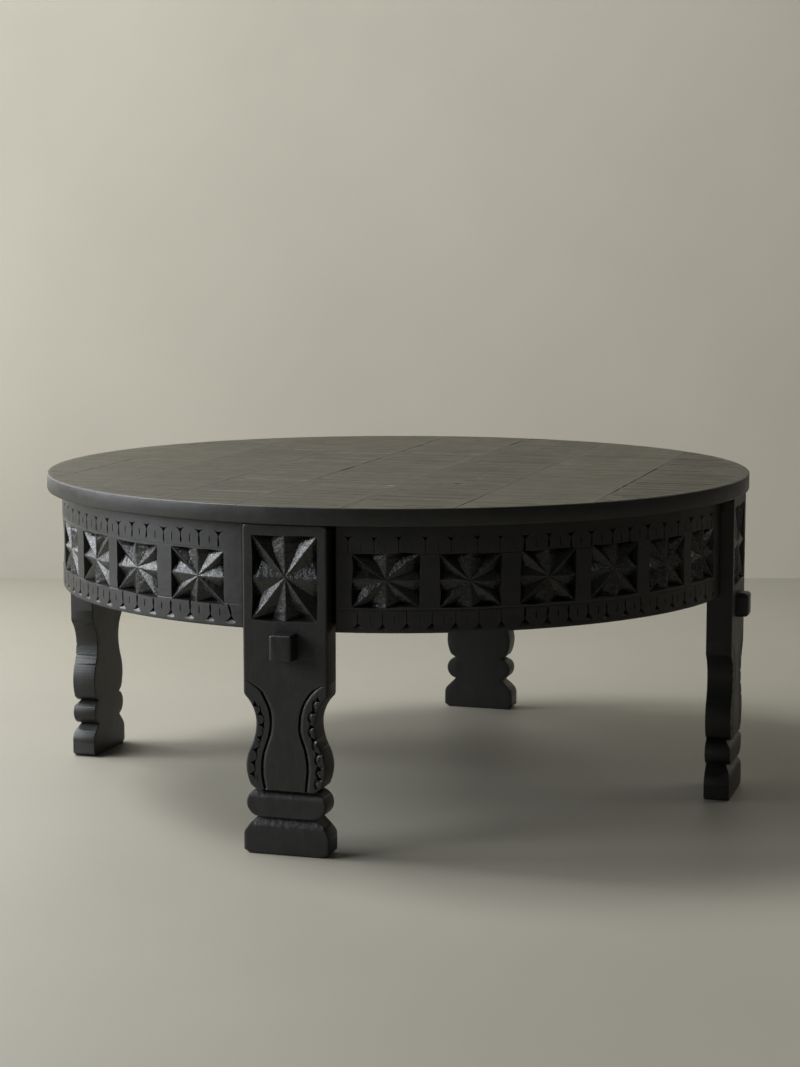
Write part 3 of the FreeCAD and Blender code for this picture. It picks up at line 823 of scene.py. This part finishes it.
# The first chip's angle and the pitch of the upper and the lower border of each panel, in degrees
UPPER_BORDERS = ((9.2, 3.83), (10.2, 3.75), (80.6, -3.8), (78.5, -3.6))
LOWER_BORDERS = ((10.8, 3.62), (9.4, 3.7), (79.7, -3.65), (80.6, -3.82))
# On the front panel the first chips beside the front leg are small and their stems faint
SMALL_CHIPS = 7
SMALL_CHIP = 0.76
FAINT_STEM = 0.34
# Stems of the lower border that run up into a rosette, as slip sideways and length in millimetres
LONG_STEMS = {(3, 0): (-5, 22), (3, 2): (0, 25)}
# The mean length of the other stems, in millimetres
STEM_LENGTH = 20.0
CHIP_REACH = 7.2 * MM
CHIP_HEIGHT = 8.6 * MM
CHIP_DEPTH = 5.4 * MM
CHIP_SAG_SHARE = 0.12
STEM_DEPTH = 3.4 * MM
STEM_NECK = 3 * MM
SLIT_DEPTH = 2.4 * MM
SLIT_START = 3.5 * MM
SLIT_END = 2.5 * MM
# How near a border comes to the end of its panel, in degrees
BORDER_MARGIN = 1.2
# The scribed lines along a panel, as height and depth
SCRIBED_LINES = ((346 * MM, 0.35 * MM), (283.5 * MM, 0.2 * MM))
SCRIBED_WIDTH = 0.9 * MM


def along_panel(degrees):
    """The way along a panel's face from its middle to an angle."""
    return (math.radians(degrees) - QUARTER / 2) * APRON_RADIUS


def carve_petal_border(carving, base, inward, quarter, first, pitch, chance):
    """A row of petals with round ends. Between two petals a stem runs inwards from a three-armed
    chip, and each petal has a short slit."""
    end = QUARTER / 2 + math.copysign(PANEL_ANGLE, pitch)
    count = int((abs(math.degrees(end) - first) - BORDER_MARGIN) / abs(pitch))
    for index in range(count + 1):
        small = quarter == 0 and index < SMALL_CHIPS
        size = SMALL_CHIP if small else 1.0
        share = FAINT_STEM if small else 1.0
        u = along_panel(first + pitch * index) + chance.normal(0, 0.6) * MM
        start = base + chance.normal(0, 0.4) * MM
        reach = CHIP_REACH * size * chance.uniform(0.88, 1.08)
        height = CHIP_HEIGHT * size * chance.uniform(0.9, 1.12)
        tip = u + chance.normal(0, 0.6) * MM
        tips = [(u - reach, start), (u + reach, start + chance.normal(0, 0.5) * MM),
                (tip, start + inward * height)]
        deep = CHIP_DEPTH * chance.uniform(0.85, 1.1) * size
        if inward < 0:
            carve_chip(carving, tips, CHIP_SAG_SHARE, deep, pull=0.1)
        else:
            carve_lit_chip(carving, (u, start), reach, tips[-1], deep)
        slip, length = LONG_STEMS.get((quarter, index), (0, 0)) if inward > 0 else (0, 0)
        length = max(length, chance.normal(STEM_LENGTH, 1.3)) * MM
        bend = chance.normal(0, 0.6) * MM + slip * MM
        stem = [(tip + bend * over, start + inward * up) for over, up in (
            (0, height * 0.6), (0.15, height + STEM_NECK), (0.6, length * 0.8), (1, length))]
        carve_groove(carving, stem, chance.uniform(2.3, 3.0) * MM * share, STEM_DEPTH * share, lean=0.6)
        middle = along_panel(first + pitch * (index + 0.5)) + chance.normal(0, 0.6) * MM
        if index < count:
            low, high = chance.uniform(4.5, 6.0) * MM, chance.uniform(15.5, 17.0) * MM
            slit = [(middle + bend * over, base + inward * up) for over, up in (
                (0, low), (0, low + SLIT_START), (0.1, high - SLIT_END), (0.2, high))]
            carve_groove(carving, slit, chance.uniform(1.3, 1.7) * MM * share, SLIT_DEPTH * share, lean=0.6)


class Panel(Slab):
    """A quarter of the apron, laid out flat: u runs along its outer face and v is the height."""

    def __init__(self, quarter):
        loop = [(-PANEL_HALF, APRON_BOTTOM), (PANEL_HALF, APRON_BOTTOM), (PANEL_HALF, APRON_TOP),
                (-PANEL_HALF, APRON_TOP)]
        super().__init__("apron_panel_%d_carved" % (quarter + 1), loop, self.bent, APRON_THICKNESS, 1.7 * MM,
                         400 + quarter)
        self.quarter = quarter

    def bent(self, u, v, depth):
        radius = APRON_RADIUS - depth
        half = QUARTER / 2 - np.arcsin(PANEL_END / radius)
        angle = QUARTER / 2 + u / PANEL_HALF * half
        return turned(np.stack([radius * np.sin(angle), -radius * np.cos(angle), v], axis=1), self.quarter)


def make_panel(quarter, material):
    chance = np.random.default_rng(300 + quarter)
    panel = Panel(quarter)
    guessed = [(45 + (number - (ROSETTE_COUNT - 1) / 2) * ROSETTE_PITCH + chance.uniform(-0.3, 0.3),
                chance.uniform(68, 75)) for number in range(ROSETTE_COUNT)]
    for degrees, width in ROSETTES.get(quarter, guessed):
        middle = (along_panel(degrees), ROSETTE_MIDDLE[quarter] + chance.normal(0, 0.5) * MM)
        carve_rosette(panel.carving, middle, width * MM, ROSETTE_HEIGHT * chance.uniform(0.985, 1.015),
                      ROSETTE_DEPTH, chance)
    carve_petal_border(panel.carving, BORDER_TOP, -1, quarter, *UPPER_BORDERS[quarter], chance)
    carve_petal_border(panel.carving, BORDER_BOTTOM, 1, quarter, *LOWER_BORDERS[quarter], chance)
    for height, depth in SCRIBED_LINES:
        line = [(u, height + chance.normal(0, 0.15) * MM) for u in np.linspace(-0.99, 0.99, 12) * PANEL_HALF]
        carve_groove(panel.carving, line, SCRIBED_WIDTH, depth)
    stand_for(panel.make(), "apron_panel_%d" % (quarter + 1), material)


# Legs

# The top corners of a leg, rounded by wear
LEG_RIGHT_ROUND = 6 * MM
LEG_LEFT_ROUND = 2 * MM
LEG_ROSETTE = (0, 318 * MM)
LEG_ROSETTE_SIZE = (78 * MM, 96 * MM)
LEG_ROSETTE_DEPTH = 12.8 * MM
NECK_HEIGHTS = (74.8 * MM, 43.6 * MM)
NECK_FALLS = (8.8 * MM, 12.5 * MM)
NECK_DEPTH = 6 * MM
NECK_TEXTURE = 0.65
NECK_LIP = 0.5 * MM
NECK_FLAT = 2.0 * MM
NECK_OVERRUN = 2 * MM
# The slope below a neck's step: shares of its fall and of its depth, and where it ends
NECK_SLOPE = ((0.55, 0.42), (0.85, 0.10))
NECK_END = 1.15

# Points of the S-shaped groove and middles of the chips on each side of a leg, in millimetres from
# its middle line and from the floor, as the front leg shows them from the top down
S_LINES = {
    -1: ((-46, 200), (-30.9, 189.7), (-25.8, 182.6), (-21.6, 174.6), (-18.6, 166.6), (-17.4, 157.6),
         (-17.5, 147.7), (-19.3, 137.6), (-22.8, 127.5), (-25.4, 119.8), (-27.2, 111.4), (-27.9, 103.1),
         (-28, 92.2), (-26.6, 84), (-24.9, 76.5)),
    1: ((45.5, 199), (36.5, 193.7), (29.2, 186.7), (22.8, 178.2), (19.4, 168.9), (17.6, 159.8),
        (17.1, 146.6), (18.3, 138.4), (20.9, 130.3), (23.4, 123.1), (25, 114.9), (26, 106.8), (26.2, 98.5),
        (25.5, 88.5), (24, 76.5)),
}
CHIPS = {
    -1: ((-35.3, 173), (-28.9, 163), (-26.5, 149.6), (-30, 134.4), (-34.9, 120), (-38.1, 105.3),
         (-38.6, 92.3)),
    1: ((37.7, 181.5), (32.5, 168.1), (29.9, 150.7), (31.9, 136), (36.9, 119.1), (38.6, 102.7),
        (38.5, 91.1)),
}
LEAVES = {
    -1: ((-33.2, 167.5), (-29.6, 156), (-30.8, 141.5), (-34.8, 127), (-38.3, 112.5), (-40.6, 98.5),
         (-37.5, 86)),
    1: ((38.1, 175.6), (33, 161.2), (32.8, 145.6), (37, 129.8), (41, 113.6), (41.7, 98.6), (39.8, 85.4)),
}
# Half a leaf's width and height, in millimetres
LEAF_HALF = (4.4, 5.6)
LEAF_GROOVE_WIDTH = 4.6 * MM
LEAF_GROOVE_DEPTH = 1.5 * MM
FAINT_LEAF = 0.4
VEINED_LEAVES = (3, 4, 5)
# A vein's points from the middle of its leaf, in millimetres, and how high each vein lies
VEIN = ((-2.6, 0.8), (-0.6, 0.5), (2.2, -0.6))
VEIN_RISES = (1.6, -1.4)
VEIN_WIDTH = 1.8 * MM
VEIN_DEPTH = 0.9 * MM
# The S-shaped groove, how far and how deep its right side is rounded, and over how many points it opens
S_WIDTH = 3.1 * MM
S_DEPTH = 3.0 * MM
S_BEVEL = 3.6 * MM
S_BEVEL_DEPTH = 1.0 * MM
S_OPENING = 7
# The three-armed chip: how far its corner points out, and how far back its arms lie
LEG_CHIP_OUT = 5.6 * MM
LEG_CHIP_BACK = (2.6 * MM, 2.0 * MM)
LEG_CHIP_DEPTH = 6.0 * MM
LEG_CHIP_SAG_SHARE = 0.10


def leg_loop():
    """The outline of a leg, read from the back face of its solid, from the lowest left point on."""
    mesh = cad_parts["leg_front"].data
    places = {vertex.index: (round(vertex.co.x, 6), round(vertex.co.z, 6)) for vertex in mesh.vertices
              if abs(vertex.co.y + LEG_INNER) < 1e-5}
    seen = Counter()
    for polygon in mesh.polygons:
        corners = [places.get(corner) for corner in polygon.vertices]
        if None not in corners:
            seen.update(tuple(sorted(pair)) for pair in zip(corners, corners[1:] + corners[:1]))
    links = defaultdict(list)
    for (a, b), count in seen.items():
        if count == 1 and a != b:
            links[a].append(b)
            links[b].append(a)
    start = min(links, key=lambda place: (place[1], place[0]))
    right = max(links[start], key=lambda place: place[0])
    loop = [start, right]
    while True:
        following = [place for place in links[loop[-1]] if place != loop[-2]]
        if not following or following[0] == start:
            return loop
        loop.append(following[0])


def round_corner(loop, side, radius):
    """The loop with the leg's top corner on one side made round."""
    centre = np.array([side * (LEG_HALF - radius), LEG_TOP - radius])
    turn = np.radians(np.linspace(0, 90, 6))
    arc = [tuple(centre + radius * np.array([side * math.cos(angle), math.sin(angle)])) for angle in turn]
    corner = np.array([side * LEG_HALF, LEG_TOP])
    found = min(range(len(loop)), key=lambda index: np.linalg.norm(np.array(loop[index]) - corner))
    return loop[:found] + (arc if side > 0 else arc[::-1]) + loop[found + 1:]


def carve_leaf(carving, middle, side, veined, chance):
    """One side of the outline of a rounded leaf: the upper left one on the right of a leg, and a fainter
    right one on its left."""
    middle = np.array(middle) + chance.normal(0, 0.3, 2)
    half = np.array(LEAF_HALF) * chance.uniform(0.9, 1.1)
    turn = np.radians(np.linspace(50, 250, 11) if side > 0 else np.linspace(-70, 60, 8))
    arc = [(middle + half * (math.cos(angle), math.sin(angle))) * MM for angle in turn]
    strength = 1.0 if side > 0 else FAINT_LEAF
    carve_groove(carving, arc, LEAF_GROOVE_WIDTH * strength, LEAF_GROOVE_DEPTH * strength, lean=0.64)
    if veined:
        for rise in VEIN_RISES:
            vein = [(middle + (across, rise + up)) * MM for across, up in VEIN]
            carve_groove(carving, vein, VEIN_WIDTH, VEIN_DEPTH, lean=0.7)


def carve_leg_side(carving, side, loose, chance):
    """The S-shaped groove on one side of a leg, and the row of leaves between it and the edge, with a
    three-armed chip between each two."""
    slips = chance.normal(0, 0.5, (len(S_LINES[side]), 2)) * loose
    line = np.array(curved(np.array(S_LINES[side]) + slips)) * MM
    carve_groove(carving, line, S_WIDTH, S_DEPTH, lean=0.6, tapered=False, opening=S_OPENING)
    carve_groove(carving, line + (S_BEVEL * 0.55, 0), S_BEVEL, S_BEVEL_DEPTH, lean=0.9, tapered=False,
                 opening=S_OPENING)
    middles = (np.array(CHIPS[side]) + chance.normal(0, 0.6, (len(CHIPS[side]), 2)) * loose) * MM
    for middle, direction in zip(middles, np.gradient(middles, axis=0)):
        direction = unit(direction)
        outward = sideways(direction)
        outward = outward if outward[0] * side > 0 else -outward
        arm = chance.uniform(5.2, 6.2) * MM
        low = middle + direction * arm - outward * LEG_CHIP_BACK[0]
        high = middle - direction * arm - outward * LEG_CHIP_BACK[1]
        carve_chip(carving, [high, low, middle + outward * LEG_CHIP_OUT], LEG_CHIP_SAG_SHARE,
                   LEG_CHIP_DEPTH * chance.uniform(0.85, 1.1))
    for number, leaf in enumerate(LEAVES[side]):
        carve_leaf(carving, leaf, side, side > 0 and number in VEINED_LEAVES, chance)


def carve_neck(carving, height, fall, chance):
    """A cut across a neck. Its upper side is a step, and a rough slope runs down from it."""
    columns = []
    for u in np.linspace(-LEG_HALF - NECK_OVERRUN, LEG_HALF + NECK_OVERRUN, 26):
        slip = chance.normal(0, 0.05) * MM
        slope = [(u, height - fall * down, NECK_DEPTH * deep + slip) for down, deep in NECK_SLOPE]
        columns.append([(u, height + NECK_LIP, 0), (u, height, NECK_DEPTH + slip),
                        (u, height - NECK_FLAT, NECK_DEPTH - NECK_LIP + slip), *slope,
                        (u, height - fall * NECK_END, 0)])
    carve_columns(carving, columns)


class Leg(Slab):
    """A flat board on end: u runs across it and v is the height."""

    def __init__(self, quarter, loop):
        super().__init__(LEG_NAMES[quarter] + "_carved", loop, self.upright, LEG_OUTER - LEG_INNER, 1.6 * MM,
                         600 + quarter)
        self.quarter = quarter
        self.front_radius = 2.0 * MM

    def upright(self, u, v, depth):
        return turned(np.stack([u, -(LEG_OUTER - depth), v], axis=1), self.quarter)

    def cut_share(self, v):
        return np.where(v < NECK_HEIGHTS[0] + 2 * MM, NECK_TEXTURE, 1.0)


def make_leg(quarter, loop, material):
    chance = np.random.default_rng(500 + quarter)
    leg = Leg(quarter, loop)
    carve_rosette(leg.carving, LEG_ROSETTE, *LEG_ROSETTE_SIZE, LEG_ROSETTE_DEPTH, chance)
    for side in (-1, 1):
        carve_leg_side(leg.carving, side, 0.3 if quarter == 0 else 1.0, chance)
    for height, fall in zip(NECK_HEIGHTS, NECK_FALLS):
        carve_neck(leg.carving, height, fall, chance)
    stand_for(leg.make(), LEG_NAMES[quarter], material)


# How far each peg sticks out, its slip to the side and the round of its edges
PEGS = ((20 * MM, 1.2 * MM, 2.2 * MM), (14.5 * MM, 0, 4.2 * MM), (16 * MM, -0.8 * MM, 2.6 * MM),
        (17 * MM, 0.6 * MM, 2.8 * MM))
PEG_SINK = 4 * MM
PEG_TAPER = 0.94
SHANK_WIDTH = 20 * MM
SHANK_HEIGHT = 22 * MM


def make_peg(quarter, material):
    """The square peg: a tapering head with worn edges, and the shank that shows behind the leg."""
    reach, slip, edge = PEGS[quarter]
    middle = (PEG_LOW.z + PEG_HIGH.z) / 2
    width, height = PEG_HIGH.x - PEG_LOW.x, PEG_HIGH.z - PEG_LOW.z + 0.6 * MM
    shaper = bmesh.new()
    for corner in bmesh.ops.create_cube(shaper, size=1)["verts"]:
        outer = corner.co.y < 0
        share = PEG_TAPER if outer else 1
        corner.co = (corner.co.x * width * share + slip, -LEG_OUTER + (-reach if outer else PEG_SINK),
                     corner.co.z * height * share + middle)
    bmesh.ops.bevel(shaper, geom=shaper.edges[:], offset=edge, segments=4, profile=0.5, affect="EDGES")
    shank = bmesh.ops.create_cube(shaper, size=1)["verts"]
    size = Vector((SHANK_WIDTH, LEG_OUTER - LEG_INNER + 0.4 * MM, SHANK_HEIGHT))
    bmesh.ops.scale(shaper, vec=size, verts=shank)
    bmesh.ops.translate(shaper, vec=(0, -(LEG_OUTER + LEG_INNER) / 2 + 0.2 * MM, middle), verts=shank)
    bmesh.ops.subdivide_edges(shaper, edges=shaper.edges[:], cuts=5, use_grid_fill=True)
    points = np.array([tuple(vertex.co) for vertex in shaper.verts])
    polygons = [[vertex.index for vertex in face.verts] for face in shaper.faces]
    shaper.free()
    seed = Vector((quarter * 5, 0, 0))
    uneven = np.array([noise.noise(Vector(point) / (6 * MM) + seed) for point in points])
    points[:, 1] += 0.4 * MM * (uneven + 1)
    grain = points[:, [0, 2, 1]].copy()
    piece = build(PEG_NAMES[quarter] + "_worn", turned(points, quarter), polygons, grain, 0.6,
                  np.full(len(points), 0.35), sharp=40)
    stand_for(piece, PEG_NAMES[quarter], material)


# Stage, light and camera

CAMERA_DISTANCE = 2.998
CAMERA_HEIGHT = 0.7092
CAMERA_TURN = math.radians(16.678)
CAMERA_AZIMUTH = math.radians(16.719)
CAMERA_DOWN = math.radians(7.531)
LENS = 78.645
WALL_DISTANCE = 1.675
STAGE_HALF = 7.0
# The sensor's height in millimetres
SENSOR = 36

FLOOR = ((0.292, 0.275, 0.225), (0.333, 0.313, 0.258))
WALL = ((0.451, 0.425, 0.352), (0.520, 0.490, 0.410))
# How pale floor and wall are at their left, as a share of their right: painted shade that evens out the
# lamps' light from the left
FLOOR_LEFT_SHADE = 0.84
WALL_LEFT_SHADE = 0.74
# Between these distances from the table the floor fades into the background, as shares of FADE_REACH
FADE_REACH = 4.0
FADE_SHARES = (0.55, 0.9)


def stage_material(name, tones, left, roughness, one_sided=False):
    """Plain plaster or concrete, which is left times as pale at its left as at its right: painted shade
    that evens out the lamps' light from the left. A one-sided wall can't be seen from behind, so that
    it doesn't hide the table there. The floor fades into the pale background far from the table."""
    material, tree, shader = new_tree(name)
    place = node(tree, "TexCoord").outputs["Object"]
    cloud = noise_of(tree, place, 1.0, detail=4)
    paint = ramp(tree, cloud, [(0.3, tones[0]), (0.7, tones[1])])
    apart = node(tree, "SeparateXYZ", {0: place})
    across = calculated(tree, calculated(tree, apart.outputs["X"], 0.5), 0.5, "ADD")
    # Painted shade: darker towards the left, against the lamps' light there
    paint = times(tree, paint, ramp(tree, across, [(0.15, left), (0.85, 1.0)]))
    feed(tree, shader, {"Base Color": paint, "Roughness": roughness})
    if one_sided:
        hidden = node(tree, "NewGeometry").outputs["Backfacing"]
        beyond = node(tree, "BsdfTransparent")
    else:
        away = node(tree, "VectorMath", {0: place}, operation="LENGTH")
        far = calculated(tree, away.outputs["Value"], 1 / FADE_REACH)
        far = ramp(tree, far, [(FADE_SHARES[0], 0.0), (FADE_SHARES[1], 1.0)])
        hidden = calculated(tree, far, node(tree, "LightPath").outputs["Is Camera Ray"])
        beyond = node(tree, "Emission", {"Color": WALL[1], "Strength": 1.0})
    either = node(tree, "MixShader", {0: hidden, 1: shader.outputs[0], 2: beyond.outputs[0]})
    output = next(found for found in tree.nodes if found.type == "OUTPUT_MATERIAL")
    tree.links.new(either.outputs[0], output.inputs["Surface"])
    return material


def make_stage():
    wall_place = (-WALL_DISTANCE * math.sin(CAMERA_TURN), WALL_DISTANCE * math.cos(CAMERA_TURN), 0)
    floor_paint = stage_material("pale_floor", FLOOR, FLOOR_LEFT_SHADE, 0.55)
    wall_paint = stage_material("pale_wall", WALL, WALL_LEFT_SHADE, 0.9, one_sided=True)
    corners = [(a * STAGE_HALF, b * STAGE_HALF, 0) for a, b in ((-1, -1), (1, -1), (1, 1), (-1, 1))]
    for name, place, turn, material in (("floor", (0, 0, 0), (0, 0, 0), floor_paint),
                                        ("wall", wall_place, (QUARTER, 0, CAMERA_TURN), wall_paint)):
        mesh = bpy.data.meshes.new(name)
        mesh.from_pydata(corners, [], [(0, 1, 2, 3)])
        mesh.materials.append(material)
        piece = placed(name, mesh, place, turn)


def make_camera():
    data = bpy.data.cameras.new("camera")
    data.lens = LENS
    data.sensor_width = SENSOR
    place = (CAMERA_DISTANCE * math.sin(CAMERA_AZIMUTH), -CAMERA_DISTANCE * math.cos(CAMERA_AZIMUTH),
             CAMERA_HEIGHT)
    bpy.context.scene.camera = placed("camera", data, place, (QUARTER - CAMERA_DOWN, 0, CAMERA_TURN))


DAYLIGHT = (0.93, 0.965, 1.0)
# Each lamp: its place, what it points at, its size, its power and its colour
LAMPS = {
    "window": ((-2.75, -0.75, 1.35), (0, 0.0, 0.35), (1.1, 1.6), 80, DAYLIGHT),
    "front_window": ((-2.2, -1.9, 1.4), (0, 0.0, 0.35), (1.1, 1.6), 47, DAYLIGHT),
    "side_window": ((-2.4, 0.6, 1.15), (0, 0.0, 0.3), (0.8, 1.4), 10, DAYLIGHT),
    "back_window": ((-1.55, 1.05, 0.85), (-0.4, 0.0, 0.3), (0.5, 1.3), 5, DAYLIGHT),
    "right_fill": ((2.0, 0.9, 2.4), (0, 0, 0.2), (1.2, 1.2), 10, (1.0, 0.98, 0.95)),
    "skylight": ((-1.6, 0.0, 2.7), (0, 0, 0.3), (1.0, 1.0), 74, (0.97, 0.985, 1.0)),
}
WORLD_COLOUR = (0.80, 0.80, 0.78)
WORLD_STRENGTH = 0.06


def make_light():
    for name, (place, target, size, power, colour) in LAMPS.items():
        data = bpy.data.lights.new(name, "AREA")
        data.shape = "RECTANGLE"
        data.size, data.size_y = size
        data.energy = power
        data.color = colour
        turn = (Vector(target) - Vector(place)).to_track_quat("-Z", "Y").to_euler()
        placed(name, data, place, turn).visible_camera = False
    world = bpy.data.worlds.new("room")
    world.use_nodes = True
    tree = world.node_tree
    dim = tree.nodes["Background"]
    feed(tree, dim, {"Color": WORLD_COLOUR, "Strength": WORLD_STRENGTH})
    pale = node(tree, "Background", {"Color": WALL[1], "Strength": 1.0})
    seen = node(tree, "LightPath").outputs["Is Camera Ray"]
    either = node(tree, "MixShader", {0: seen, 1: dim.outputs[0], 2: pale.outputs[0]})
    tree.links.new(either.outputs[0], tree.nodes["World Output"].inputs["Surface"])
    bpy.context.scene.world = world


top_wood = stained_wood("top_wood", along=1, edge_wear_and_highlight=0.15, gloss=0.42, fibres=0.25, blotch=0.09,
                        carved_gloss=(0.72, 0.86), painted_side_tint=TOP_RIM_PAINTED_TINT)
apron_wood = stained_wood("apron_wood", along=0, fibres=0.12)
leg_wood = stained_wood("leg_wood", along=1, fibres=0.12)
inner_wood = stained_wood("inner_wood", along=0, from_object=True, gloss=0.6)
screw_steel = worn_steel()

for number in range(1, PLANK_COUNT + 1):
    make_plank(number, top_wood)
outline = round_corner(round_corner(leg_loop(), 1, LEG_RIGHT_ROUND), -1, LEG_LEFT_ROUND)
for quarter in range(4):
    make_panel(quarter, apron_wood)
    make_leg(quarter, outline, leg_wood)
    make_peg(quarter, leg_wood)
for name, cad_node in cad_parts.items():
    if not cad_node.hide_render:
        cad_node.data.materials.clear()
        cad_node.data.materials.append(screw_steel if name == "leg_coach_screws" else inner_wood)

make_camera()
make_light()
make_stage()

scene = bpy.context.scene
scene.view_settings.view_transform = "Standard"
